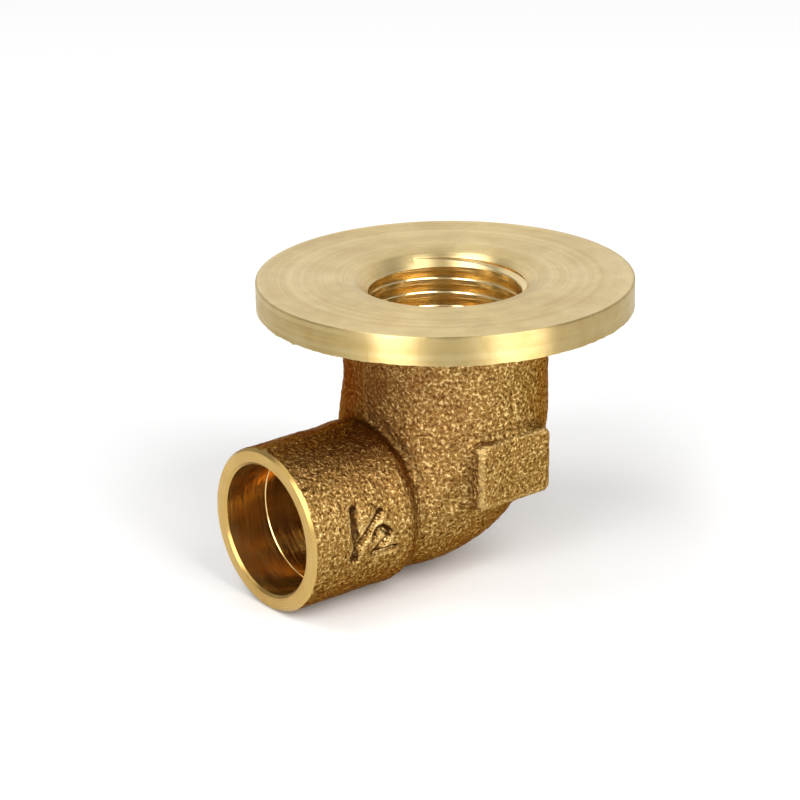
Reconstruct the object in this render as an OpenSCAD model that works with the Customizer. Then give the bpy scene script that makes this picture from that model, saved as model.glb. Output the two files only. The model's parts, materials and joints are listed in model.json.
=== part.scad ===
// Flanged elbow: a one-piece bronze casting that turns a half-inch copper water line
// through a right angle and ends it in a threaded port behind a round flange.
// The origin is the centre of the flange's face. The port looks along +Z and the
// solder cup looks along -X.

/* [Flange] */
// Diameter of the round flange
flange_d = 46; // [42:0.5:60]
// Thickness of the flange at its rim
flange_t = 3.5; // [2.6:0.1:6]
// Edge break turned on both edges of the rim
rim_break = 0.3; // [0.1:0.05:0.8]

/* [Threaded port] */
// Diameter at the crests of the female pipe thread
thread_bore_d = 18.6; // [18.2:0.1:19.4]
// Depth of the threaded bore below the face
thread_depth = 15; // [12:0.25:16]
// Diameter at the top of the 45 degree countersink
countersink_d = 21.4; // [20.4:0.1:21.8]
// Width of the soft dish that leads from the face into the countersink
dish_w = 2.5; // [1:0.1:4]
// Depth of that dish where it meets the countersink
dish_depth = 0.5; // [0.2:0.05:0.8]

/* [Neck] */
// Diameter of the neck under the flange
neck_d = 25.2; // [24.2:0.1:30]
// Fillet between the neck and the back of the flange
neck_fillet = 1.5; // [0.3:0.1:2.5]

/* [Bend] */
// Distance from the flange's face down to the axis of the cup
axis_drop = 25.8; // [25:0.1:34]
// Radius of the bend, measured on the centre line
bend_r = 9.6; // [8:0.1:10]
// Length of neck above the bend over which the loft already swells
bend_lead = 3.2; // [0.5:0.1:5]
// Length of barrel beyond the bend over which the loft still narrows
bend_tail = 1.2; // [0.5:0.1:3]
// Diameter of the barrel between the bend and the cup
barrel_d = 18.7; // [17.6:0.1:19.6]
// Diameter of the cast waterway
waterway_d = 14; // [12.5:0.1:14.6]

/* [Solder cup] */
// Distance from the port's axis to the face of the cup
cup_reach = 28; // [26:0.25:40]
// Length of the cup, from its face to its shoulder
cup_length = 15; // [14:0.25:15.2]
// Outside diameter of the cup
cup_d = 20.2; // [20:0.1:24]
// Bore that takes the copper tube
cup_bore_d = 15.95; // [15.9:0.01:16.05]
// Depth of that bore down to the tube stop
cup_depth = 12.7; // [10:0.1:13.5]
// Diameter of the slightly wider lead bore at the mouth
lead_bore_d = 16.15; // [16.06:0.01:16.4]
// Depth of the lead bore
lead_bore_depth = 6; // [2:0.25:8]
// Bevel at the mouth of the bore
cup_bevel = 0.3; // [0.1:0.05:0.6]
// Bevel round the outside of the cup's face
cup_edge_bevel = 0.4; // [0.1:0.05:0.8]
// Rounding of the cup's shoulder
shoulder_round = 1; // [0.3:0.05:1.2]

/* [Wrench pads] */
// Width of each pad, along the cup's axis
pad_w = 11; // [8:0.1:14]
// Height of each pad, along the neck
pad_h = 8.3; // [5:0.1:9]
// Distance across the two flat pads
pad_across = 26.5; // [25.6:0.1:32]
// Distance from the flange's face down to the top of the pads
pad_drop = 17.2; // [14:0.1:19]
// Rounding of the four corners of each pad, seen square to its face
pad_corner_r = 1.1; // [0.3:0.05:2]
// Rounding of the edges round the pads' faces
pad_edge_r = 0.5; // [0.2:0.05:1]

/* [Hidden] */
$fn = 96;

// Overlap that lets a cutting body pass cleanly through a face
pass = 1;
// Depth by which the loft of the bend is sunk into the pieces at its ends
sink = 0.05;
// Number of sections in the loft of the bend, and the facets of each
bend_sections = 13;
section_facets = 40;
// Thickness of one section of that loft
section_t = 0.02;
// Half of the 118 degree point that the tap drill leaves
drill_half_angle = 59;

flange_r = flange_d / 2;
neck_r = neck_d / 2;
thread_bore_r = thread_bore_d / 2;
countersink_r = countersink_d / 2;
waterway_r = waterway_d / 2;
barrel_r = barrel_d / 2;
cup_r = cup_d / 2;
cup_bore_r = cup_bore_d / 2;
lead_bore_r = lead_bore_d / 2;
// Level at which the straight neck ends and the bend starts
bend_top = axis_drop - bend_r;
// Radius of the dish's arc, tangent to the face
dish_r = (pow(dish_w, 2) + pow(dish_depth, 2)) / (2 * dish_depth);
// Depth at which the 45 degree countersink meets the thread crests
countersink_depth = dish_depth + countersink_r - thread_bore_r;
// Length of the drill point, whose tip ends in the open waterway
drill_point = thread_bore_r / tan(drill_half_angle);
cup_shoulder = cup_reach - cup_length;

// Radius of the bend's round section at an angle, 0 at the neck and 90 at the barrel
function section_r(angle) = barrel_r + (neck_r - barrel_r) * cos(angle) - sink;

// Puts a body that stands on +Z onto the cup's axis, pointing to the cup's mouth
module on_cup_axis() {
    translate([0, 0, -axis_drop]) rotate([0, -90, 0]) children();
}

// Places a body at an angle of the bend, square to its centre line
module at_bend(angle) {
    translate([-bend_r, 0, -bend_top]) rotate([0, angle, 0]) translate([bend_r, 0, 0]) children();
}

// Round disc with broken edges, its face at the origin
module flange() {
    rotate_extrude()
        polygon([
            [0, 0],
            [flange_r - rim_break, 0],
            [flange_r, -rim_break],
            [flange_r, -flange_t + rim_break],
            [flange_r - rim_break, -flange_t],
            [0, -flange_t]
        ]);
}

// Straight neck, with a fillet against the back of the flange
module neck() {
    translate([0, 0, -bend_top]) cylinder(r = neck_r, h = bend_top - flange_t / 2);
    rotate_extrude()
        difference() {
            translate([neck_r - sink, -flange_t - neck_fillet])
                square([neck_fillet + sink, neck_fillet + sink]);
            translate([neck_r + neck_fillet, -flange_t - neck_fillet]) circle(r = neck_fillet);
        }
}

// Loft that turns the corner and narrows from the neck to the barrel
module bend() {
    hull() {
        at_bend(0) cylinder(r = section_r(0), h = bend_lead, $fn = section_facets);
        for (i = [1:bend_sections - 2]) {
            angle = 90 * i / (bend_sections - 1);
            at_bend(angle)
                cylinder(r = section_r(angle), h = section_t, center = true, $fn = section_facets);
        }
        at_bend(90) translate([0, 0, -bend_tail])
            cylinder(r = section_r(90), h = bend_tail, $fn = section_facets);
    }
}

// Barrel and thicker cup, with a rounded shoulder and a bevelled face
module cup_body() {
    on_cup_axis() {
        translate([0, 0, bend_r - pass]) cylinder(r = barrel_r, h = cup_shoulder - bend_r + 2 * pass);
        rotate_extrude() {
            polygon([
                [0, cup_shoulder],
                [cup_r - shoulder_round, cup_shoulder],
                [cup_r - shoulder_round, cup_shoulder + shoulder_round],
                [cup_r, cup_shoulder + shoulder_round],
                [cup_r, cup_reach - cup_edge_bevel],
                [cup_r - cup_edge_bevel, cup_reach],
                [0, cup_reach]
            ]);
            intersection() {
                translate([cup_r - shoulder_round, cup_shoulder + shoulder_round])
                    circle(r = shoulder_round);
                translate([cup_r - shoulder_round, cup_shoulder]) square(shoulder_round);
            }
        }
    }
}

// Rectangle with round corners, centred on the origin
module round_rectangle(w, h, r) {
    square([w - 2 * r, h], center = true);
    square([w, h - 2 * r], center = true);
    for (x = [-1, 1], y = [-1, 1]) translate([x * (w / 2 - r), y * (h / 2 - r)]) circle(r = r);
}

// Flat pads on both sides of the neck for a wrench, their edges rounded all round
module wrench_pads() {
    translate([0, 0, -pad_drop - pad_h / 2])
        intersection() {
            linear_extrude(pad_h, center = true) round_rectangle(pad_w, pad_across, pad_edge_r);
            rotate([90, 0, 0])
                linear_extrude(pad_across, center = true) round_rectangle(pad_w, pad_h, pad_corner_r);
            rotate([90, 0, 90])
                linear_extrude(pad_w, center = true) round_rectangle(pad_across, pad_h, pad_edge_r);
        }
}

// Everything that is cut from above: dish, countersink, thread bore and drill point
module port_cut() {
    rotate_extrude()
        difference() {
            translate([0, -dish_depth]) square([countersink_r + dish_w, dish_depth + pass]);
            translate([countersink_r + dish_w, -dish_r]) circle(r = dish_r);
        }
    translate([0, 0, -countersink_depth])
        cylinder(r1 = thread_bore_r, r2 = countersink_r, h = countersink_depth - dish_depth);
    translate([0, 0, -thread_depth]) cylinder(r = thread_bore_r, h = thread_depth - dish_depth / 2);
    translate([0, 0, -thread_depth - drill_point]) cylinder(r1 = 0, r2 = thread_bore_r, h = drill_point);
}

// Cast waterway: down from the thread, round the bend and on to the tube stop
module waterway_cut() {
    translate([0, 0, -bend_top]) cylinder(r = waterway_r, h = bend_top - countersink_depth);
    translate([-bend_r, 0, -bend_top])
        rotate([90, 0, 0])
            rotate_extrude(angle = -90) translate([bend_r, 0]) circle(r = waterway_r);
    on_cup_axis()
        translate([0, 0, bend_r]) cylinder(r = waterway_r, h = cup_reach - bend_r - cup_depth + pass);
}

// Socket for the tube, open at the cup's face, with a wider lead bore and a bevelled mouth
module cup_cut() {
    on_cup_axis() {
        translate([0, 0, cup_reach - cup_depth]) cylinder(r = cup_bore_r, h = cup_depth);
        translate([0, 0, cup_reach - lead_bore_depth])
            cylinder(r = lead_bore_r, h = lead_bore_depth + pass);
        translate([0, 0, cup_reach - cup_bevel])
            cylinder(r1 = lead_bore_r, r2 = lead_bore_r + cup_bevel + pass, h = cup_bevel + pass);
    }
}

module flanged_elbow() {
    color("#B08A45")
        difference() {
            union() {
                flange();
                neck();
                bend();
                cup_body();
                wrench_pads();
            }
            port_cut();
            waterway_cut();
            cup_cut();
        }
}

flanged_elbow();
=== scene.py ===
"""Looks of the flanged elbow, a one-piece bronze casting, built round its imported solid.

The casting is made here as a foundry and a machine shop make it. First comes the raw sand
casting, a closed skin meshed from a distance field and roughened by Geometry Nodes. Then tools
cut it: a facing cut and a turned rim on the flange, a port that is bored, countersunk and
tapped, and a cup that is faced and bored.
"""

import json
import logging
import math
from dataclasses import dataclass
from enum import Enum
from typing import Any, Optional, Sequence

import bmesh
import bpy
import numpy as np
from mathutils import Matrix, Vector


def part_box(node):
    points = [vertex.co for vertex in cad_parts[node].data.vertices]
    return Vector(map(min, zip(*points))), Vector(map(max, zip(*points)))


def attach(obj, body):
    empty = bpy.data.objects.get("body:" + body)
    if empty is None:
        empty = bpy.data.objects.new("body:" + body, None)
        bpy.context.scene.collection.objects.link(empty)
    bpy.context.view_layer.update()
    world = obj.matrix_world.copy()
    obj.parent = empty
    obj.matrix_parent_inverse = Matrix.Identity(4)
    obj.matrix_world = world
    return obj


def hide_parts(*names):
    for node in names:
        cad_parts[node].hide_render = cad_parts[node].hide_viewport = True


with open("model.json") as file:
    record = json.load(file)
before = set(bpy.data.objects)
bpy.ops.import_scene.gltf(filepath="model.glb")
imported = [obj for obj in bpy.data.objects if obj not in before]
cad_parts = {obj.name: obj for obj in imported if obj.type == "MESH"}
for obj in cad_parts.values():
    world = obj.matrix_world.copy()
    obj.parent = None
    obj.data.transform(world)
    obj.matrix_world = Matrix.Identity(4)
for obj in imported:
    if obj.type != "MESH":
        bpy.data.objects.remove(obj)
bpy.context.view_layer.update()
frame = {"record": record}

LOG = logging.getLogger("flanged_elbow")
MM = 0.001
NODE = "flanged_elbow"
Point = tuple[float, float]
# Socket that takes each type of value into a Geometry Nodes tree
SOCKETS = {
    float: "NodeSocketFloat",
    int: "NodeSocketInt",
    tuple: "NodeSocketVector",
    bpy.types.Material: "NodeSocketMaterial",
}


class Axis(Enum):
    """The two axes that the casting is turned about."""

    PORT = "port"
    CUP = "cup"


@dataclass(frozen=True)
class ElbowSizes:
    """Sizes of the casting in millimetres, in the row frame.

    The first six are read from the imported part, and the others are those of its source.
    """

    flange_r: float
    cup_reach: float
    axis_drop: float
    cup_r: float
    thread_bore_r: float
    cup_bore_r: float
    flange_t: float = 3.5
    neck_r: float = 12.6
    neck_fillet: float = 1.5
    thread_depth: float = 15.0
    countersink_r: float = 10.7
    dish_w: float = 2.5
    dish_depth: float = 0.5
    bend_r: float = 9.6
    bend_lead: float = 3.2
    bend_tail: float = 1.2
    barrel_r: float = 9.35
    waterway_r: float = 7.0
    cup_length: float = 15.0
    cup_depth: float = 12.7
    lead_bore_r: float = 8.075
    lead_bore_depth: float = 6.0
    cup_bevel: float = 0.3
    cup_edge_bevel: float = 0.4
    shoulder_round: float = 1.0
    pad_w: float = 11.0
    pad_h: float = 8.3
    pad_across: float = 26.5
    pad_drop: float = 17.2
    pad_corner_r: float = 1.1
    pad_edge_r: float = 0.5

    @property
    def bend_top(self) -> float:
        """Depth below the face at which the straight neck ends."""
        return self.axis_drop - self.bend_r

    @property
    def cup_shoulder(self) -> float:
        """Distance from the port's axis to the shoulder of the cup."""
        return self.cup_reach - self.cup_length

    @property
    def countersink_depth(self) -> float:
        """Depth at which the 45 degree countersink meets the thread's crests."""
        return self.dish_depth + self.countersink_r - self.thread_bore_r

    @classmethod
    def from_frame(cls) -> "ElbowSizes":
        """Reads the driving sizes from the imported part.

        Returns:
            The sizes, with the outside and the two bores as packed.
        """
        low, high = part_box(NODE)
        mounts = {m["name"]: m for m in frame["record"]["mounts"]}
        axis_drop = -mounts["solder_cup"]["pos_m"][2] / MM
        return cls(
            flange_r=high.y / MM,
            cup_reach=-low.x / MM,
            axis_drop=axis_drop,
            cup_r=-low.z / MM - axis_drop,
            thread_bore_r=mounts["thread_port"]["dims"]["r_mm"],
            cup_bore_r=mounts["solder_cup"]["dims"]["r_mm"],
        )


def soft_union(a: np.ndarray, b: np.ndarray, fillet: float) -> np.ndarray:
    """Joins two distance fields with a fillet in the corner between them.

    Args:
        a: First field, in millimetres.
        b: Second field.
        fillet: Width of the blend.

    Returns:
        The joined field.
    """
    share = np.maximum(fillet - np.abs(a - b), 0.0) / fillet
    return np.minimum(a, b) - share * share * fillet * 0.25


def rounded_max(a: np.ndarray, b: np.ndarray, rounding: float) -> np.ndarray:
    """Distance to where both fields are inside, with the outer edge between them rounded.

    Args:
        a: First field.
        b: Second field, square to the first.
        rounding: Radius of the edge.

    Returns:
        The field of the common part.
    """
    a, b = a + rounding, b + rounding
    return np.minimum(np.maximum(a, b), 0.0) + np.hypot(np.maximum(a, 0.0), np.maximum(b, 0.0)) - rounding


def post(
    radial: np.ndarray, along: np.ndarray, radius: float, low: float, high: float, rounding: float = 0.0
) -> np.ndarray:
    """Distance to a straight round post.

    Args:
        radial: Distance of each point from the post's axis.
        along: Position of each point along the axis.
        radius: Radius of the post.
        low: Where the post starts.
        high: Where it ends.
        rounding: Rounding of its two edges.

    Returns:
        The distance field.
    """
    ends = np.abs(along - (low + high) / 2) - (high - low) / 2
    return rounded_max(radial - radius, ends, rounding)


def blur(field: np.ndarray, reach: int) -> np.ndarray:
    """Softens the creases of a field by a triangular blur along each axis.

    Args:
        field: A three-dimensional field.
        reach: How many cells the blur reaches to each side.

    Returns:
        The softened field, with its outermost cells unchanged.
    """
    weights = reach + 1 - np.abs(np.arange(-reach, reach + 1))
    weights = weights / weights.sum()
    for axis in range(3):
        size = field.shape[axis]
        inner = sum(
            w * np.take(field, range(i, size - 2 * reach + i), axis=axis) for i, w in enumerate(weights)
        )
        field = field.copy()
        cut = [slice(None)] * 3
        cut[axis] = slice(reach, size - reach)
        field[tuple(cut)] = inner
    return field


def surface_net(
    field: np.ndarray, origin: np.ndarray, spacing: float
) -> tuple[np.ndarray, np.ndarray, np.ndarray]:
    """Meshes the zero level of a field with one vertex in each cell that it crosses.

    Args:
        field: Signed distances on a regular grid, negative inside.
        origin: Position of the grid's first point.
        spacing: Distance between grid points.

    Returns:
        The vertices, the four-sided faces, which point outwards, and the cell of each vertex.
    """
    inside = field < 0
    n = np.array(field.shape) - 1
    corners = [(i, j, k) for i in (0, 1) for j in (0, 1) for k in (0, 1)]
    count = sum(
        inside[i : n[0] + i, j : n[1] + j, k : n[2] + k].astype(np.int8) for i, j, k in corners
    )
    active = (count > 0) & (count < 8)
    number = np.full(active.shape, -1, np.int64)
    cells = np.argwhere(active)
    number[active] = np.arange(len(cells))

    total = np.zeros((len(cells), 3))
    hits = np.zeros(len(cells))
    for start in corners:
        for axis in range(3):
            if start[axis]:
                continue
            end = list(start)
            end[axis] = 1
            a = field[tuple((cells + start).T)]
            b = field[tuple((cells + end).T)]
            crossed = (a < 0) != (b < 0)
            point = cells[crossed] + np.array(start, float)
            point[:, axis] += a[crossed] / (a[crossed] - b[crossed])
            total[crossed] += point
            hits[crossed] += 1
    vertices = origin + spacing * total / hits[:, None]

    faces = []
    for axis in range(3):
        u, v = (axis + 1) % 3, (axis + 2) % 3
        along = [slice(1, -1)] * 3
        ahead = [slice(1, -1)] * 3
        along[axis], ahead[axis] = slice(0, -1), slice(1, None)
        first, second = inside[tuple(along)], inside[tuple(ahead)]
        edges = np.argwhere(first != second)
        out = first[tuple(edges.T)]
        lowest = edges.copy()
        lowest[:, u] += 1
        lowest[:, v] += 1
        step_u, step_v = np.eye(3, dtype=int)[u], np.eye(3, dtype=int)[v]
        around = [lowest - step_u - step_v, lowest - step_v, lowest, lowest - step_u]
        quad = np.stack([number[tuple(c.T)] for c in around], axis=1)
        faces.append(np.where(out[:, None], quad, quad[:, ::-1]))
    return vertices, np.concatenate(faces), cells


def mesh_from_arrays(
    name: str,
    vertices: Sequence[Sequence[float]],
    faces: Sequence[Sequence[int]],
    edges: Sequence[tuple[int, int]] = (),
) -> bpy.types.Object:
    """Makes an object from points in millimetres.

    Args:
        name: Name of the object.
        vertices: Points in millimetres, in the row frame.
        faces: Corner numbers of each face.
        edges: End numbers of each loose edge.

    Returns:
        The object, linked to the scene, with its place in its mesh.
    """
    points = (np.asarray(vertices, float) * MM).tolist()
    corners = faces.tolist() if isinstance(faces, np.ndarray) else faces
    mesh = bpy.data.meshes.new(name)
    mesh.from_pydata(points, edges, corners)
    mesh.update()
    made = bpy.data.objects.new(name, mesh)
    bpy.context.scene.collection.objects.link(made)
    return made


@dataclass(frozen=True)
class Stroke:
    """One stroke of a numeral that stood raised on the pattern, as a chain of points.

    The points are (distance along the cup's axis from the port's axis, height round the cup
    above its side), both in millimetres.
    """

    points: tuple[Point, ...]
    half_width: float = 0.5

    def nearness(self, along: np.ndarray, height: np.ndarray) -> np.ndarray:
        """How far inside the stroke each point is.

        Args:
            along: Distance along the cup's axis.
            height: Height round the cup.

        Returns:
            1 on the stroke's centre line, falling smoothly to 0 beyond its edge.
        """
        nearest = np.full(np.broadcast(along, height).shape, np.inf)
        for (x0, y0), (x1, y1) in zip(self.points, self.points[1:]):
            dx, dy = x1 - x0, y1 - y0
            t = np.clip(((along - x0) * dx + (height - y0) * dy) / (dx * dx + dy * dy), 0, 1)
            nearest = np.minimum(nearest, np.hypot(along - x0 - t * dx, height - y0 - t * dy))
        return np.exp(-((nearest / self.half_width) ** 4))


@dataclass(frozen=True)
class RawCasting:
    """The casting as it leaves the sand, with stock where the tools will cut."""

    sizes: ElbowSizes
    # Distance between grid points, room round the casting, and overlap between its pieces
    spacing: float = 0.275
    margin: float = 2.0
    overlap: float = 1.0
    # Metal left for the tools on the flange and on the cup's face
    stock: float = 0.7
    # Fillets of the casting, the last as a multiple of the solid's fillet under the flange
    pad_fillet: float = 0.7
    shoulder_fillet: float = 1.7
    rim_fillet: float = 0.5
    fillet_width: float = 1.66
    # Draft of the pads: growth for each millimetre below their faces
    pad_draft: float = 0.2
    # Reach of the two blurs in cells: one eases the bend's creases, one finds hollows
    crease_reach: int = 2
    hollow_reach: int = 4
    # Loft of the bend: its sections, its supporting planes, the points worked on at a time, and
    # how far outside and inside the trunk it is worked out
    loft_sections: int = 13
    loft_planes: int = 2600
    loft_chunk: int = 20000
    loft_outside: float = 2.0
    loft_inside: float = 3.0
    parting_height: float = 0.2
    parting_half_width: float = 0.3
    # Size cast into the cup: a one, a stroke, and a two with its foot
    numeral_depth: float = 0.6
    numerals: tuple[Stroke, ...] = (
        Stroke(((21.7, 4.0), (22.0, 1.6), (21.8, -0.6), (22.0, -2.4)), 0.42),
        Stroke(((18.1, 2.8), (19.5, 1.4), (20.8, 0.2), (22.4, -1.9)), 0.38),
        Stroke(
            ((19.2, -0.1), (18.7, 0.7), (17.9, 0.85), (17.0, 0.1), (17.3, -0.7), (18.3, -1.4), (19.4, -2.2)),
            0.34,
        ),
        Stroke(((19.4, -2.2), (17.7, -2.3), (16.0, -2.3)), 0.34),
    )

    def loft(self, x: np.ndarray, y: np.ndarray, z: np.ndarray) -> np.ndarray:
        """Distance to the loft that turns the corner and narrows to the barrel.

        The loft is the hull of round sections, so its distance is the largest one to its
        supporting planes.

        Args:
            x: Positions across the port, towards the flange's far side.
            y: Positions towards a wrench pad.
            z: Heights.

        Returns:
            The distance of each point.
        """
        s = self.sizes
        turn = np.radians(np.linspace(0, 90, self.loft_sections))
        centres = np.stack(
            [-s.bend_r + s.bend_r * np.cos(turn), 0 * turn, -s.bend_top - s.bend_r * np.sin(turn)], axis=1
        )
        headings = np.stack([-np.sin(turn), 0 * turn, -np.cos(turn)], axis=1)
        radii = s.barrel_r + (s.neck_r - s.barrel_r) * np.cos(turn)
        first = centres[0] - headings[0] * s.bend_lead
        last = centres[-1] + headings[-1] * s.bend_tail
        centres = np.vstack([first, centres, last])
        headings = np.vstack([headings[0], headings, headings[-1]])
        radii = np.concatenate([radii[:1], radii, radii[-1:]])

        # The planes' normals are spread evenly over the sphere on a golden spiral
        step = np.arange(self.loft_planes) + 0.5
        polar, spin = np.arccos(1 - 2 * step / self.loft_planes), math.pi * (1 + math.sqrt(5)) * step
        normals = np.stack(
            [np.sin(polar) * np.cos(spin), np.sin(polar) * np.sin(spin), np.cos(polar)], axis=1
        )
        tilt = np.sqrt(np.maximum(1 - (normals @ headings.T) ** 2, 0))
        reach = (normals @ centres.T + radii * tilt).max(axis=1).astype(np.float32)
        normals = normals.astype(np.float32)
        points = np.stack([x, y, z], axis=1).astype(np.float32)
        parts = [points[i : i + self.loft_chunk] for i in range(0, len(points), self.loft_chunk)]
        return np.concatenate([(part @ normals.T - reach).max(axis=1) for part in parts])

    def field(self) -> tuple[np.ndarray, np.ndarray]:
        """Works out the signed distance to the raw casting on a regular grid.

        Returns:
            The field and the position of its first point.
        """
        s, m = self.sizes, self.margin
        low = np.array([-s.cup_reach - m, -s.flange_r - m, -s.axis_drop - s.cup_r - m / 2])
        high = np.array([s.flange_r + m, s.flange_r + m, m])
        x, y, z = (np.arange(a, b, self.spacing, dtype=np.float32) for a, b in zip(low, high))
        x, y, z = x[:, None, None], y[None, :, None], z[None, None, :]

        round_port = np.hypot(x, y)
        round_cup = np.hypot(y, z + s.axis_drop)
        neck = post(round_port, z, s.neck_r, -s.bend_top, -self.overlap)
        barrel = post(
            round_cup, -x, s.barrel_r, s.bend_r - self.overlap, s.cup_shoulder + 2 * self.overlap
        )
        trunk = np.minimum(neck, barrel)
        around_bend = np.hypot(np.hypot(x + s.bend_r, z + s.bend_top) - s.bend_r, y) - s.neck_r
        turning = (z < -s.bend_top + s.bend_lead + self.overlap) & (x > -s.cup_shoulder)
        near = np.nonzero((around_bend < self.loft_outside) & (trunk > -self.loft_inside) & turning)
        loft = self.loft(x[near[0], 0, 0], y[0, near[1], 0], z[0, 0, near[2]])
        trunk[near] = np.minimum(trunk[near], loft)
        trunk = blur(trunk, self.crease_reach)

        across = np.abs(y) - s.pad_across / 2
        draft = self.pad_draft * np.clip(-across, 0, s.pad_w / 4)
        wide = np.abs(x) - s.pad_w / 2 - draft
        tall = np.abs(z + s.pad_drop + s.pad_h / 2) - s.pad_h / 2 - draft / 2
        pads = rounded_max(rounded_max(wide, tall, s.pad_corner_r), across, s.pad_edge_r)
        body = soft_union(trunk, pads, self.pad_fillet)
        cup = post(round_cup, -x, s.cup_r, s.cup_shoulder, s.cup_reach + self.stock, s.shoulder_round)
        body = soft_union(body, cup, self.shoulder_fillet)
        flange = post(round_port, z, s.flange_r + self.stock, -s.flange_t, self.stock, self.rim_fillet)
        body = soft_union(body, flange, self.fillet_width * s.neck_fillet)

        body -= self.parting_height * np.exp(-((y / self.parting_half_width) ** 2))
        side = s.cup_r * np.arctan2(z + s.axis_drop, -y)
        carved = np.maximum.reduce([stroke.nearness(-x, side) for stroke in self.numerals])
        body += self.numeral_depth * np.where(y < 0, carved, 0)
        return body, low

    def build(self) -> bpy.types.Object:
        """Meshes the raw casting.

        Returns:
            A closed object with the smooth shape of the pattern. Its attribute "hollow" is how
            far each point lies below its surroundings, in millimetres.
        """
        field, low = self.field()
        vertices, faces, cells = surface_net(field, low, self.spacing)
        casting = mesh_from_arrays("raw_casting", vertices, faces)
        hollow = (field - blur(field, self.hollow_reach))[tuple(cells.T)]
        casting.data.attributes.new("hollow", "FLOAT", "POINT").data.foreach_set("value", hollow)
        return casting


@dataclass(frozen=True)
class Span:
    """A stretch of a turned profile that leaves one finish.

    Each point is (radius, distance along the axis), in millimetres.
    """

    finish: bpy.types.Material
    points: Sequence[Point]


def revolve(name: str, spans: Sequence[Span], axis: Axis, drop: float, segments: int) -> bpy.types.Object:
    """Turns a closed profile into a solid.

    Args:
        name: Name of the object.
        spans: Stretches of the profile, which starts and ends on the axis.
        axis: The port's axis, along +Z, or the cup's axis, along -X.
        drop: Distance of the cup's axis below the origin.
        segments: Number of facets round the axis.

    Returns:
        A closed object with outward faces.
    """
    turn = np.linspace(0, 2 * math.pi, segments, endpoint=False)
    profile = [point for span in spans for point in span.points]
    marks = [number for number, span in enumerate(spans) for _ in span.points]
    rings = np.array(profile[1:-1])
    across = rings[:, 0, None] * np.cos(turn), rings[:, 0, None] * np.sin(turn)
    along = np.repeat(rings[:, 1, None], segments, axis=1)
    points = np.stack([*across, along], axis=-1).reshape(-1, 3)
    points = np.vstack([points, [0, 0, profile[0][1]], [0, 0, profile[-1][1]]])
    if axis is Axis.CUP:
        points = np.stack([-points[:, 2], points[:, 0], points[:, 1] - drop], axis=-1)
    faces, marked = [], []
    first, last = len(points) - 2, len(points) - 1
    for i in range(segments):
        j = (i + 1) % segments
        for ring in range(len(rings) - 1):
            a, b = ring * segments, (ring + 1) * segments
            faces.append((a + i, a + j, b + j, b + i))
        end = (len(rings) - 1) * segments
        faces += [(first, j, i), (last, end + i, end + j)]
        marked += marks[2:-1] + [marks[1], marks[-1]]
    made = mesh_from_arrays(name, points, faces)
    for span in spans:
        made.data.materials.append(span.finish)
    made.data.polygons.foreach_set("material_index", marked)
    face_outwards(made.data)
    return made


def face_outwards(mesh: bpy.types.Mesh) -> None:
    """Turns the faces of a closed mesh outwards."""
    work = bmesh.new()
    work.from_mesh(mesh)
    bmesh.ops.recalc_face_normals(work, faces=work.faces)
    if work.calc_volume(signed=True) < 0:
        bmesh.ops.reverse_faces(work, faces=work.faces)
    work.to_mesh(mesh)
    work.free()


def arc(centre: Point, radius: float, start: float, end: float, steps: int) -> list[Point]:
    """Points on an arc of a profile.

    Args:
        centre: Centre of the arc.
        radius: Its radius.
        start: Angle of its first point in degrees.
        end: Angle of its last point.
        steps: Number of chords.

    Returns:
        The points, both ends among them.
    """
    angles = np.radians(np.linspace(start, end, steps + 1))
    return [(centre[0] + radius * math.cos(a), centre[1] + radius * math.sin(a)) for a in angles]


def add(tree: bpy.types.NodeTree, kind: str, inputs: Optional[dict[Any, Any]] = None, **settings: Any) -> Any:
    """Adds a node with its settings, values and links.

    Args:
        tree: Node tree that takes the node.
        kind: Type of the node.
        inputs: Value or output socket for each input, by its name or number.
        **settings: Options of the node.

    Returns:
        The node.
    """
    node = tree.nodes.new(kind)
    for key, value in settings.items():
        setattr(node, key, value)
    for key, value in (inputs or {}).items():
        if isinstance(value, bpy.types.NodeSocket):
            tree.links.new(value, node.inputs[key])
        else:
            node.inputs[key].default_value = value
    return node


def shape_tree(name: str, sizes: dict[str, Any]) -> tuple[bpy.types.NodeTree, Any]:
    """Starts a Geometry Nodes tree that takes a shape and named sizes.

    Args:
        name: Name of the tree.
        sizes: Value of each named input.

    Returns:
        The tree and its input node.
    """
    tree = bpy.data.node_groups.new(name, "GeometryNodeTree")
    tree.interface.new_socket("Shape", in_out="OUTPUT", socket_type="NodeSocketGeometry")
    tree.interface.new_socket("Shape", in_out="INPUT", socket_type="NodeSocketGeometry")
    for label, value in sizes.items():
        tree.interface.new_socket(label, in_out="INPUT", socket_type=SOCKETS[type(value)])
    return tree, add(tree, "NodeGroupInput")


def end_tree(tree: bpy.types.NodeTree, shape: Any, finish: Any) -> None:
    """Ends a tree in real geometry that carries its finish."""
    real = add(tree, "GeometryNodeRealizeInstances", {0: shape})
    dressed = add(tree, "GeometryNodeSetMaterial", {0: real.outputs[0], "Material": finish})
    add(tree, "NodeGroupOutput", {0: dressed.outputs[0]})


def apply_tree(target: bpy.types.Object, tree: bpy.types.NodeTree, sizes: dict[str, Any]) -> None:
    """Runs a tree on an object and keeps the result as its plain mesh.

    Args:
        target: Object that the tree works on.
        tree: The tree.
        sizes: Value of each named input.
    """
    modifier = target.modifiers.new(tree.name, "NODES")
    modifier.node_group = tree
    sockets = {s.name: s.identifier for s in tree.interface.items_tree if s.in_out == "INPUT"}
    for label, value in sizes.items():
        modifier[sockets[label]] = value
    keep_result(target)


def keep_result(target: bpy.types.Object) -> None:
    """Replaces an object's mesh by the result of its modifiers, and removes them."""
    graph = bpy.context.evaluated_depsgraph_get()
    result = bpy.data.meshes.new_from_object(target.evaluated_get(graph))
    target.modifiers.clear()
    target.data = result


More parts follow.
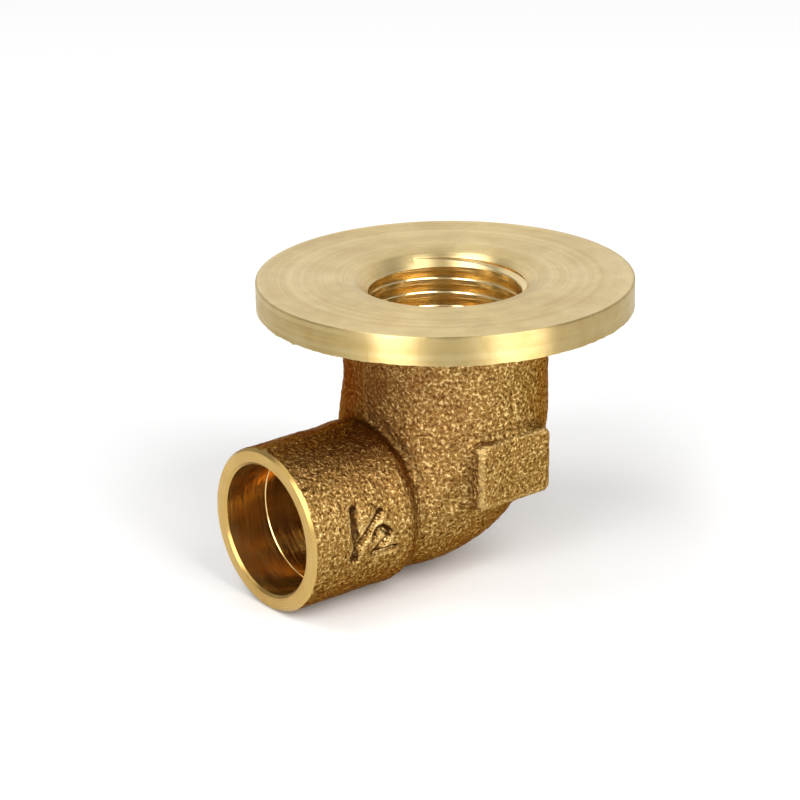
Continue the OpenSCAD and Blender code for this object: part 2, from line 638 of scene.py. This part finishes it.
def linear(code: str) -> tuple[float, float, float, float]:
    """Turns an sRGB hex colour to linear RGBA."""
    parts = [int(code[i : i + 2], 16) / 255 for i in (1, 3, 5)]
    red, green, blue = (p / 12.92 if p <= 0.04045 else ((p + 0.055) / 1.055) ** 2.4 for p in parts)
    return red, green, blue, 1.0


def new_material(name: str) -> tuple[bpy.types.Material, bpy.types.NodeTree, Any]:
    """Makes a material with one Principled shader.

    Args:
        name: Name of the real material and how its surface was made.

    Returns:
        The material, its tree and the shader node.
    """
    material = bpy.data.materials.new(name)
    material.use_nodes = True
    tree = material.node_tree
    tree.nodes.clear()
    shader = add(tree, "ShaderNodeBsdfPrincipled")
    add(tree, "ShaderNodeOutputMaterial", {"Surface": shader.outputs[0]})
    return material, tree, shader


def millimetres(tree: bpy.types.NodeTree) -> Any:
    """Gives the Object coordinates in millimetres."""
    place = add(tree, "ShaderNodeTexCoord")
    return add(tree, "ShaderNodeVectorMath", {0: place.outputs["Object"], "Scale": 1 / MM}, operation="SCALE")


@dataclass(frozen=True)
class CastBronze:
    """Leaded red bronze as sand cast and tumbled.

    Sand leaves close grains about half a millimetre across. Tumbling brightens their tops and
    leaves brown oxide in the pits, and more of it in the crotch that the media reach less. The
    brown round the crotch under the flange is also painted shade there, and the creases and
    hollows are darkened as oxide and as painted shade.
    """

    name: str = "bronze_sand_cast"
    bright: str = "#E8C986"
    body: str = "#97723B"
    pit: str = "#4C3012"
    # Brown round the crotch: partly oxide, partly painted shade
    stain_and_shade: str = "#6E3F20"
    # Dark brown in creases and hollows: partly oxide, partly painted shade
    oxide_and_shade: str = "#3E240E"
    # Thin oxide browns what is seen at a grazing angle
    edge_tint: str = "#B48A5A"
    grain_mm: float = 0.4
    grain_depth_mm: float = 0.24
    # The noise's range that makes the grains, and its ends that are pits and bright tops
    grain_range: Point = (0.34, 0.66)
    pits: Point = (0.0, 0.42)
    tops: Point = (0.58, 1.0)
    # Roughness in the pits and on the tops
    roughness: Point = (0.43, 0.2)
    # Brown round the crotch, partly oxide and partly painted shade of the crotch under the flange: its middle
    # in the crotch, where it ends and is full, and its uneven patches
    crotch: tuple[float, float, float] = (-13.0, -1.0, -12.0)
    stain_and_shade_mm: Point = (17.0, 6.0)
    patch_mm: float = 7.0
    patch_range: Point = (0.42, 0.62)
    stain_and_shade_share: Point = (0.3, 0.7)
    # Depth below the surroundings that is darkened as oxide and as painted shade in creases, and height above
    # them that is worn bright
    sunk_oxide_and_shade_mm: Point = (0.04, 0.3)
    proud_mm: Point = (-0.08, -0.3)
    wear: float = 0.7

    def build(self) -> bpy.types.Material:
        """Builds the finish."""
        material, tree, shader = new_material(self.name)
        place = millimetres(tree).outputs[0]
        grain = add(
            tree, "ShaderNodeTexNoise",
            {"Vector": place, "Scale": 1 / self.grain_mm, "Detail": 3.0, "Roughness": 0.65},
        ).outputs[0]
        patches = add(
            tree, "ShaderNodeTexNoise",
            {"Vector": place, "Scale": 1 / self.patch_mm, "Detail": 3.0, "Roughness": 0.6},
        ).outputs[0]
        away = add(tree, "ShaderNodeVectorMath", {0: place, 1: self.crotch}, operation="DISTANCE").outputs[1]
        hollow = add(tree, "ShaderNodeAttribute", attribute_name="hollow").outputs["Fac"]
        low, high = self.grain_range
        height = add(tree, "ShaderNodeMapRange", {0: grain, 1: low, 2: high}).outputs[0]
        full = (0.0, 1.0)
        lower, upper, near, uneven, worn, sunk_oxide_and_shade, rough = (
            add(tree, "ShaderNodeMapRange", {0: value, 1: a, 2: b, 3: c, 4: d}).outputs[0]
            for value, (a, b), (c, d) in (
                (height, self.pits, full),
                (height, self.tops, full),
                (away, self.stain_and_shade_mm, full),
                (patches, self.patch_range, self.stain_and_shade_share),
                (hollow, self.proud_mm, (0.0, self.wear)),
                (hollow, self.sunk_oxide_and_shade_mm, full),
                (height, full, self.roughness),
            )
        )
        # Painted shade: the brown round the crotch darkens it as shade under the flange, as well as oxide
        stained_and_shaded = add(tree, "ShaderNodeMath", {0: near, 1: uneven}, operation="MULTIPLY").outputs[0]
        # Painted shade: creases and hollows are darkened as shade, as well as oxide
        shares = (lower, upper, stained_and_shaded, worn, sunk_oxide_and_shade)
        tones = (self.body, self.bright, self.stain_and_shade, self.bright, self.oxide_and_shade)
        colour = linear(self.pit)
        for share, tone in zip(shares, tones):
            mix = add(tree, "ShaderNodeMix", {0: share, 6: colour, 7: linear(tone)}, data_type="RGBA")
            colour = mix.outputs[2]
        depth = self.grain_depth_mm * MM
        bump = add(tree, "ShaderNodeBump", {"Height": grain, "Distance": depth, "Strength": 1.0})
        tree.links.new(colour, shader.inputs["Base Color"])
        tree.links.new(rough, shader.inputs["Roughness"])
        tree.links.new(bump.outputs[0], shader.inputs["Normal"])
        shader.inputs["Metallic"].default_value = 1.0
        shader.inputs["Specular Tint"].default_value = linear(self.edge_tint)
        return material


@dataclass(frozen=True)
class TurnedBronze:
    """Bronze cut on a lathe.

    The tool leaves fine rings round the axis, which draw a highlight out across them, and they
    are of uneven depth, so the colour and the gloss change a little from ring to ring.
    """

    name: str
    axis: Axis
    drop: float
    bright: str
    dull: str
    roughness: float
    # Feed of the tool, which a finish may draw coarser where it is too fine to show
    ring_mm: float = 0.16
    ring_depth_mm: float = 0.012
    # Broad bands as a share of the rings' fineness, and how often rings change on their way round
    band_share: float = 0.16
    round_changes: float = 1.3
    cloud_mm: float = 5.0
    # Ranges of the noises that give the tone and the gloss, and how far the roughness moves
    tone_range: Point = (0.78, 1.22)
    ring_range: Point = (0.3, 0.7)
    gloss_change: Point = (-0.05, 0.07)
    anisotropy: float = 0.7

    def build(self) -> bpy.types.Material:
        """Builds the finish, with its rings spaced by the feed of the tool."""
        material, tree, shader = new_material(self.name)
        place = millimetres(tree).outputs[0]
        if self.axis is Axis.PORT:
            centre, along, way = (0.0, 0.0, 0.0), (0.0, 0.0, 1.0), (1.0, 1.0, 0.0)
        else:
            centre, along, way = (0.0, 0.0, -self.drop), (-1.0, 0.0, 0.0), (0.0, 1.0, 1.0)
        arm = add(tree, "ShaderNodeVectorMath", {0: place, 1: centre}, operation="SUBTRACT").outputs[0]
        flat = add(tree, "ShaderNodeVectorMath", {0: arm, 1: way}, operation="MULTIPLY").outputs[0]
        radius = add(tree, "ShaderNodeVectorMath", {0: flat}, operation="LENGTH").outputs["Value"]
        reach = add(tree, "ShaderNodeVectorMath", {0: arm, 1: along}, operation="DOT_PRODUCT")
        unit = add(tree, "ShaderNodeVectorMath", {0: flat}, operation="NORMALIZE").outputs[0]
        ring = add(tree, "ShaderNodeCombineXYZ", {0: radius, 1: reach.outputs["Value"]}).outputs[0]
        spread = add(tree, "ShaderNodeVectorMath", {0: ring, "Scale": 1 / self.ring_mm}, operation="SCALE")
        turned = add(
            tree, "ShaderNodeVectorMath",
            {0: unit, 1: (self.round_changes,) * 3, 2: spread.outputs[0]}, operation="MULTIPLY_ADD",
        ).outputs[0]
        rings, bands, clouds = (
            add(
                tree, "ShaderNodeTexNoise",
                {"Vector": vector, "Scale": scale, "Detail": detail, "Roughness": roughness},
            ).outputs[0]
            for vector, scale, detail, roughness in (
                (turned, 1.0, 2.0, 0.7),
                (turned, self.band_share, 3.0, 0.6),
                (place, 1 / self.cloud_mm, 4.0, 0.65),
            )
        )
        uneven = add(tree, "ShaderNodeMath", {0: clouds, 1: bands}, operation="ADD").outputs[0]
        low, high = self.tone_range
        tone = add(tree, "ShaderNodeMapRange", {0: uneven, 1: low, 2: high}).outputs[0]
        mix = add(
            tree, "ShaderNodeMix", {0: tone, 6: linear(self.dull), 7: linear(self.bright)}, data_type="RGBA"
        )
        low, high = self.ring_range
        glossy, dull = (self.roughness + change for change in self.gloss_change)
        rough = add(tree, "ShaderNodeMapRange", {0: rings, 1: low, 2: high, 3: glossy, 4: dull})
        depth = self.ring_depth_mm * MM
        bump = add(tree, "ShaderNodeBump", {"Height": rings, "Distance": depth, "Strength": 1.0})
        tangent = add(tree, "ShaderNodeVectorMath", {0: along, 1: unit}, operation="CROSS_PRODUCT")
        tree.links.new(mix.outputs[2], shader.inputs["Base Color"])
        tree.links.new(rough.outputs[0], shader.inputs["Roughness"])
        tree.links.new(bump.outputs[0], shader.inputs["Normal"])
        tree.links.new(tangent.outputs[0], shader.inputs["Tangent"])
        shader.inputs["Metallic"].default_value = 1.0
        shader.inputs["Anisotropic"].default_value = self.anisotropy
        shader.inputs["Anisotropic Rotation"].default_value = 0.25
        return material


@dataclass(frozen=True)
class SandSkin:
    """Relief that the sand mould leaves on the casting, made by Geometry Nodes.

    The level is the noise's value that leaves the skin where it was, so grains rise above the
    pattern and sink below it.
    """

    grain: float = 0.9
    grain_depth: float = 0.28
    lump: float = 4.5
    lump_depth: float = 0.25
    level: float = 0.55
    seed: float = 3.0

    def dress(self, casting: bpy.types.Object, finish: bpy.types.Material) -> None:
        """Moves the skin of the casting by grains and lumps, and gives it its finish.

        Args:
            casting: The raw casting.
            finish: Its cast finish.
        """
        sizes = {
            "Grain Size": self.grain * MM,
            "Grain Depth": self.grain_depth * MM,
            "Lump Size": self.lump * MM,
            "Lump Depth": self.lump_depth * MM,
            "Level": self.level,
            "Seed": self.seed,
            "Finish": finish,
        }
        tree, given = shape_tree("sand_skin", sizes)
        reliefs = []
        for label in ("Grain", "Lump"):
            size, depth = given.outputs[label + " Size"], given.outputs[label + " Depth"]
            fineness = add(tree, "ShaderNodeMath", {0: 1.0, 1: size}, operation="DIVIDE").outputs[0]
            noise = add(
                tree, "ShaderNodeTexNoise",
                {"Scale": fineness, "W": given.outputs["Seed"], "Detail": 1.5, "Roughness": 0.5},
                noise_dimensions="4D",
            ).outputs[0]
            above = add(tree, "ShaderNodeMath", {0: noise, 1: given.outputs["Level"]}, operation="SUBTRACT")
            relief = add(tree, "ShaderNodeMath", {0: above.outputs[0], 1: depth}, operation="MULTIPLY")
            reliefs.append(relief.outputs[0])
        grains, lumps = reliefs
        total = add(tree, "ShaderNodeMath", {0: grains, 1: lumps}, operation="ADD").outputs[0]
        normal = add(tree, "GeometryNodeInputNormal").outputs[0]
        move = add(tree, "ShaderNodeVectorMath", {0: normal, "Scale": total}, operation="SCALE")
        moved = add(tree, "GeometryNodeSetPosition", {0: given.outputs[0], "Offset": move.outputs[0]})
        end_tree(tree, moved.outputs[0], given.outputs["Finish"])
        apply_tree(casting, tree, sizes)


@dataclass(frozen=True)
class PipeTap:
    """Tap for the half-inch pipe thread, 14 turns to the inch, made by Geometry Nodes.

    Its flanks stand at 60 degrees to each other, and a small step at the root of its tooth
    breaks the edges of the thread's crests.
    """

    crest_r: float
    pitch: float = 25.4 / 14
    depth: float = 0.96
    flank_angle: float = 30.0
    crest_flat: float = 0.7
    crest_break: float = 0.1
    # Half the flat at the tooth's tip, beyond what the flanks leave
    tip_half: float = 0.02
    overlap: float = 0.3
    # Heights that the helix stays between, and where one crest of the thread is
    lowest: float = -13.6
    top: float = 0.8
    crest_angle: float = 51.8
    crest_level: float = -3.4
    steps: int = 96

    def tooth(self) -> list[tuple[float, float, float]]:
        """Outline of the tooth: how far it stands out from the crests, and its height."""
        half = (self.pitch - self.crest_flat) / 2
        slope = math.tan(math.radians(self.flank_angle))
        upper = [
            (-self.overlap, half + self.crest_break),
            (0.0, half + self.crest_break),
            (self.crest_break, half - self.crest_break * slope),
            (self.depth, half - self.depth * slope + self.tip_half),
        ]
        lower = [(out, -rise) for out, rise in reversed(upper)]
        return [(out, rise, 0.0) for out, rise in upper + lower]

    def build(self, finish: bpy.types.Material) -> bpy.types.Object:
        """Makes the tap as a closed right-hand helix.

        Args:
            finish: Finish that the tap leaves.

        Returns:
            The cutting body.
        """
        groove = self.crest_level + (self.pitch - self.crest_flat) / 2
        start = groove + math.floor((self.lowest - groove) / self.pitch) * self.pitch
        turns = math.floor((self.top - start) / self.pitch)
        outline = self.tooth()
        tap = mesh_from_arrays("pipe_tap", outline, [tuple(range(len(outline)))])
        sizes = {
            "Crest Radius": self.crest_r * MM,
            "Turns": float(turns),
            "Rise": turns * self.pitch * MM,
            "Steps": self.steps,
            "Place": (0.0, 0.0, start * MM),
            "Turned": (0.0, 0.0, math.radians(self.crest_angle)),
            "Finish": finish,
        }
        tree, given = shape_tree("pipe_tap", sizes)
        tooth = add(tree, "GeometryNodeMeshToCurve", {0: given.outputs[0]})
        spiral = add(
            tree, "GeometryNodeCurveSpiral",
            {
                "Resolution": given.outputs["Steps"],
                "Rotations": given.outputs["Turns"],
                "Start Radius": given.outputs["Crest Radius"],
                "End Radius": given.outputs["Crest Radius"],
                "Height": given.outputs["Rise"],
                "Reverse": True,
            },
        )
        upright = add(tree, "GeometryNodeSetCurveNormal", {0: spiral.outputs[0]}, mode="Z_UP")
        swept = add(
            tree, "GeometryNodeCurveToMesh",
            {0: upright.outputs[0], "Profile Curve": tooth.outputs[0], "Fill Caps": True},
        )
        placed = add(
            tree, "GeometryNodeTransform",
            {0: swept.outputs[0], "Translation": given.outputs["Place"], "Rotation": given.outputs["Turned"]},
        )
        end_tree(tree, placed.outputs[0], given.outputs["Finish"])
        apply_tree(tap, tree, sizes)
        face_outwards(tap.data)
        return tap


@dataclass(frozen=True)
class SandCore:
    """Core that leaves the waterway, swept along its centre line by Geometry Nodes."""

    sizes: ElbowSizes
    steps: int = 14
    facets: int = 72
    top_overlap: float = 4.0
    stop_overlap: float = 2.0

    def build(self, finish: bpy.types.Material) -> bpy.types.Object:
        """Makes the core.

        Args:
            finish: Cast finish that the core leaves.

        Returns:
            The core as a closed body.
        """
        s = self.sizes
        turn = np.radians(np.linspace(0, 90, self.steps))
        bend = np.stack(
            [-s.bend_r * (1 - np.cos(turn)), 0 * turn, -s.bend_top - s.bend_r * np.sin(turn)], axis=1
        )
        end = -(s.cup_reach - s.cup_depth + self.stop_overlap)
        path = np.vstack([[0, 0, -s.bend_top + self.top_overlap], bend, [end, 0, -s.axis_drop]])
        core = mesh_from_arrays("sand_core", path, [], [(i, i + 1) for i in range(len(path) - 1)])
        sizes = {
            "Radius": s.waterway_r * MM,
            "Facets": self.facets,
            "Finish": finish,
        }
        tree, given = shape_tree("sand_core", sizes)
        line = add(tree, "GeometryNodeMeshToCurve", {0: given.outputs[0]})
        ring = add(
            tree, "GeometryNodeCurvePrimitiveCircle",
            {"Resolution": given.outputs["Facets"], "Radius": given.outputs["Radius"]},
        )
        swept = add(
            tree, "GeometryNodeCurveToMesh",
            {0: line.outputs[0], "Profile Curve": ring.outputs[0], "Fill Caps": True},
        )
        end_tree(tree, swept.outputs[0], given.outputs["Finish"])
        apply_tree(core, tree, sizes)
        face_outwards(core.data)
        return core


@dataclass(frozen=True)
class MachineShop:
    """Tools that cut the raw casting, each with the finish that it leaves."""

    sizes: ElbowSizes
    segments: int = 192
    arc_steps: int = 10
    edge_round: float = 0.2
    # How far a tool's back stays off the casting, and an extra point's distance from a rounding
    clear: float = 4.0
    support: float = 0.25
    drill_half_angle: float = 59.0

    def port_spans(self, finishes: dict[str, bpy.types.Material]) -> list[Span]:
        """Profile of what is turned off about the port's axis.

        Args:
            finishes: Finish that each process leaves.

        Returns:
            The rim, the face with its dish, and the countersunk bore down to the drill point.
        """
        s, e = self.sizes, self.edge_round
        out = s.flange_r + self.clear
        dish_r = (s.dish_w**2 + s.dish_depth**2) / (2 * s.dish_depth)
        dish_angle = math.degrees(math.asin(s.dish_w / dish_r))
        rim = [
            (0, self.clear),
            (out, self.clear),
            (out, -s.flange_t - self.clear),
            (s.flange_r, -s.flange_t - self.clear),
            (s.flange_r, -e - self.support),
            *arc((s.flange_r - e, -e), e, 0, 90, self.arc_steps // 2),
        ]
        face = [
            (s.flange_r - e - self.support, 0),
            (s.countersink_r + s.dish_w + self.support, 0),
            *arc((s.countersink_r + s.dish_w, -dish_r), dish_r, 90, 90 + dish_angle, self.arc_steps),
            (s.thread_bore_r, -s.countersink_depth),
        ]
        bore = [
            (s.thread_bore_r, -s.thread_depth),
            (0, -s.thread_depth - s.thread_bore_r / math.tan(math.radians(self.drill_half_angle))),
        ]
        return [
            Span(finishes["turned rim"], rim),
            Span(finishes["faced"], face),
            Span(finishes["tapped"], bore),
        ]

    def cup_spans(self, finishes: dict[str, bpy.types.Material]) -> list[Span]:
        """Profile of what is bored and faced about the cup's axis.

        Args:
            finishes: Finish that each process leaves.

        Returns:
            The bore with its lead and bevel, and the face with the bevel round it.
        """
        s = self.sizes
        stop = s.cup_reach - s.cup_depth
        lead = s.cup_reach - s.lead_bore_depth
        lead_step = s.lead_bore_r - s.cup_bore_r
        edge = s.cup_r - s.cup_edge_bevel
        bore = [
            (0, stop),
            (s.cup_bore_r, stop),
            (s.cup_bore_r, lead),
            (s.lead_bore_r, lead + lead_step),
            (s.lead_bore_r, s.cup_reach - s.cup_bevel),
        ]
        face = [
            (s.lead_bore_r + s.cup_bevel, s.cup_reach),
            (edge, s.cup_reach),
            (edge + self.clear / 2, s.cup_reach - self.clear / 2),
            (edge + self.clear / 2, s.cup_reach + self.clear),
            (0, s.cup_reach + self.clear),
        ]
        return [Span(finishes["bored"], bore), Span(finishes["cup face"], face)]

    def cut(self, casting: bpy.types.Object, finishes: dict[str, bpy.types.Material]) -> None:
        """Cuts the casting with every tool and keeps the result.

        Args:
            casting: The raw casting in its skin.
            finishes: Finish that each tool leaves, by the tool's name.
        """
        s = self.sizes
        tools = [
            SandCore(s).build(finishes["cast"]),
            revolve("port_tools", self.port_spans(finishes), Axis.PORT, s.axis_drop, self.segments),
            revolve("cup_tools", self.cup_spans(finishes), Axis.CUP, s.axis_drop, self.segments),
            PipeTap(s.thread_bore_r).build(finishes["tapped"]),
        ]
        for tool in tools:
            modifier = casting.modifiers.new(tool.name, "BOOLEAN")
            modifier.operation = "DIFFERENCE"
            modifier.solver = "MANIFOLD"
            modifier.material_mode = "TRANSFER"
            modifier.object = tool
            keep_result(casting)
            LOG.info("cut by %s: %d faces", tool.name, len(casting.data.polygons))
            bpy.data.objects.remove(tool)


@dataclass(frozen=True)
class FlangedElbow:
    """The finished casting."""

    sizes: ElbowSizes
    sharp_angle: float = 24.0

    def finishes(self) -> dict[str, bpy.types.Material]:
        """Builds the finish that each process leaves."""
        drop = self.sizes.axis_drop
        port, cup = (Axis.PORT, drop), (Axis.CUP, drop)
        turned = {
            # Long even strokes on the rim draw its highlights out the most
            "turned rim": TurnedBronze(
                "bronze_turned_rim", *port, "#DFC88E", "#CEB070", 0.42, anisotropy=1.0
            ),
            "faced": TurnedBronze("bronze_faced", *port, "#EDD69C", "#D8BC80", 0.34),
            # Cutting oil and a sharp tap leave the thread and the bore glossy. Their colour is painted paler
            # than the bronze, as painted light that lifts the shade inside the port.
            "tapped": TurnedBronze("bronze_tapped", *port, "#FBE8B6", "#F0D190", 0.2),
            # The boring tool's feed is about 0.2 mm, too fine to show, so its rings are drawn coarser
            # The cup's bore is painted paler than the bronze too, as painted light that lifts the shade
            # inside the cup
            "bored": TurnedBronze("bronze_bored", *cup, "#F0D190", "#DDB066", 0.2, 0.5, 0.05),
            "cup face": TurnedBronze("bronze_faced_cup", *cup, "#C8A763", "#BA9551", 0.3),
        }
        return {"cast": CastBronze().build(), **{label: finish.build() for label, finish in turned.items()}}

    def build(self) -> bpy.types.Object:
        """Casts, roughens and machines the elbow.

        Returns:
            The finished piece.
        """
        finishes = self.finishes()
        casting = RawCasting(self.sizes).build()
        LOG.info("raw casting: %d faces", len(casting.data.polygons))
        SandSkin().dress(casting, finishes["cast"])
        MachineShop(self.sizes).cut(casting, finishes)
        casting.name = "elbow_casting"
        self.finish_edges(casting.data)
        self.stay_in_box(casting.data)
        return casting

    def finish_edges(self, mesh: bpy.types.Mesh) -> None:
        """Shades the skin smooth and keeps edges crisp where a tool has left them."""
        work = bmesh.new()
        work.from_mesh(mesh)
        limit = math.radians(self.sharp_angle)
        for face in work.faces:
            face.smooth = True
        for edge in work.edges:
            first, second = edge.link_faces[0], edge.link_faces[-1]
            turned = first.material_index and second.material_index
            edge.smooth = first.material_index == second.material_index and not (
                turned and edge.calc_face_angle(0) > limit
            )
        work.to_mesh(mesh)
        work.free()

    def stay_in_box(self, mesh: bpy.types.Mesh) -> None:
        """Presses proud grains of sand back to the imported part's outline."""
        low, high = (np.array(side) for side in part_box(NODE))
        points = np.empty(len(mesh.vertices) * 3, np.float32)
        mesh.vertices.foreach_get("co", points)
        held = np.clip(points.reshape(-1, 3), low, high)
        mesh.vertices.foreach_set("co", held.ravel())
        mesh.update()


def direction(azimuth: float, elevation: float) -> Vector:
    """Gives the way from the object to a place in the studio.

    Args:
        azimuth: Turn in degrees from -Y, with +X on the right.
        elevation: Rise in degrees.

    Returns:
        A vector of length 1.
    """
    turn, rise = math.radians(azimuth), math.radians(elevation)
    return Vector((math.sin(turn) * math.cos(rise), -math.cos(turn) * math.cos(rise), math.sin(rise)))


@dataclass(frozen=True)
class Softbox:
    """A soft studio lamp, placed by its direction from the object."""

    name: str
    azimuth: float
    elevation: float
    distance: float
    width: float
    height: float
    radiance: float

    def build(self, target: Vector) -> None:
        """Makes the lamp and points it at the object."""
        light = bpy.data.lights.new(self.name, "AREA")
        light.shape = "RECTANGLE"
        light.size, light.size_y = self.width, self.height
        light.energy = self.radiance * math.pi * self.width * self.height
        lamp = bpy.data.objects.new(self.name, light)
        bpy.context.scene.collection.objects.link(lamp)
        out = direction(self.azimuth, self.elevation)
        facing = out.to_track_quat("Z", "Y").to_matrix().to_4x4()
        lamp.matrix_world = Matrix.Translation(target + out * self.distance) @ facing


@dataclass(frozen=True)
class Studio:
    """Pale floor, soft light and the camera, in metres and degrees.

    The camera stands where the photograph's ellipses put it, and the lamps where the flange's
    rim reflects them.
    """

    floor_level: float
    target: tuple[float, float, float] = (-0.0075183, -0.000365, -0.0142188)
    azimuth: float = -38.1898
    elevation: float = 20.6368
    roll: float = 0.9436
    distance: float = 0.3159
    lens: float = 117.17
    sensor: float = 36.0
    clip: Point = (0.01, 10.0)
    floor_size: float = 3.0
    paper_white: float = 0.82
    world_level: float = 0.38
    lamps: tuple[Softbox, ...] = (
        Softbox("softbox_left", -70.0, 31.0, 1.2, 0.5, 1.4, 5.4),
        Softbox("softbox_right", 6.0, 31.0, 1.2, 0.72, 1.4, 4.8),
        Softbox("softbox_back", 142.0, 32.0, 1.6, 3.0, 1.5, 0.5),
        Softbox("softbox_top", -118.0, 66.0, 1.2, 0.5, 0.5, 4.5),
    )

    def build(self) -> None:
        """Builds the floor, the light and the camera."""
        self.build_floor()
        self.build_world()
        for lamp in self.lamps:
            lamp.build(Vector(self.target))
        self.build_camera()

    def build_floor(self) -> None:
        """Lays the floor, which the lamps light to white and the object shades."""
        half = self.floor_size / 2 / MM
        level = self.floor_level / MM
        corners = [(x * half, y * half, level) for x, y in ((-1, -1), (1, -1), (1, 1), (-1, 1))]
        floor = mesh_from_arrays("studio_floor", corners, [(0, 1, 2, 3)])
        material = bpy.data.materials.new("paper_matt_white")
        material.use_nodes = True
        tree = material.node_tree
        tree.nodes.clear()
        paper = add(tree, "ShaderNodeBsdfDiffuse", {"Color": (*[self.paper_white] * 3, 1.0)})
        add(tree, "ShaderNodeOutputMaterial", {"Surface": paper.outputs[0]})
        floor.data.materials.append(material)

    def build_world(self) -> None:
        """Fills the room with even light."""
        world = bpy.data.worlds.new("studio_room")
        bpy.context.scene.world = world
        world.use_nodes = True
        tree = world.node_tree
        tree.nodes.clear()
        light = add(tree, "ShaderNodeBackground", {"Color": linear("#FFFFFF"), "Strength": self.world_level})
        add(tree, "ShaderNodeOutputWorld", {"Surface": light.outputs[0]})

    def build_camera(self) -> None:
        """Places the camera at the photograph's viewing angle."""
        out = direction(self.azimuth, self.elevation)
        data = bpy.data.cameras.new("camera")
        data.lens, data.sensor_width = self.lens, self.sensor
        data.clip_start, data.clip_end = self.clip
        camera = bpy.data.objects.new("camera", data)
        bpy.context.scene.collection.objects.link(camera)
        look = (-out).to_track_quat("-Z", "Y").to_matrix().to_4x4()
        place = Matrix.Translation(Vector(self.target) + out * self.distance)
        camera.matrix_world = place @ look @ Matrix.Rotation(math.radians(-self.roll), 4, "Z")
        bpy.context.scene.camera = camera


def main() -> None:
    """Builds the object, its stage, light and camera."""
    logging.basicConfig(level=logging.INFO, format="%(name)s: %(message)s")
    scene = bpy.context.scene
    scene.view_settings.view_transform = "Standard"
    sizes = ElbowSizes.from_frame()
    low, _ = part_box(NODE)
    Studio(floor_level=low.z).build()
    elbow = FlangedElbow(sizes).build()
    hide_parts(NODE)
    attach(elbow, "root")
    LOG.info("%s: %d faces", elbow.name, len(elbow.data.polygons))


if __name__ == "__main__":
    main()
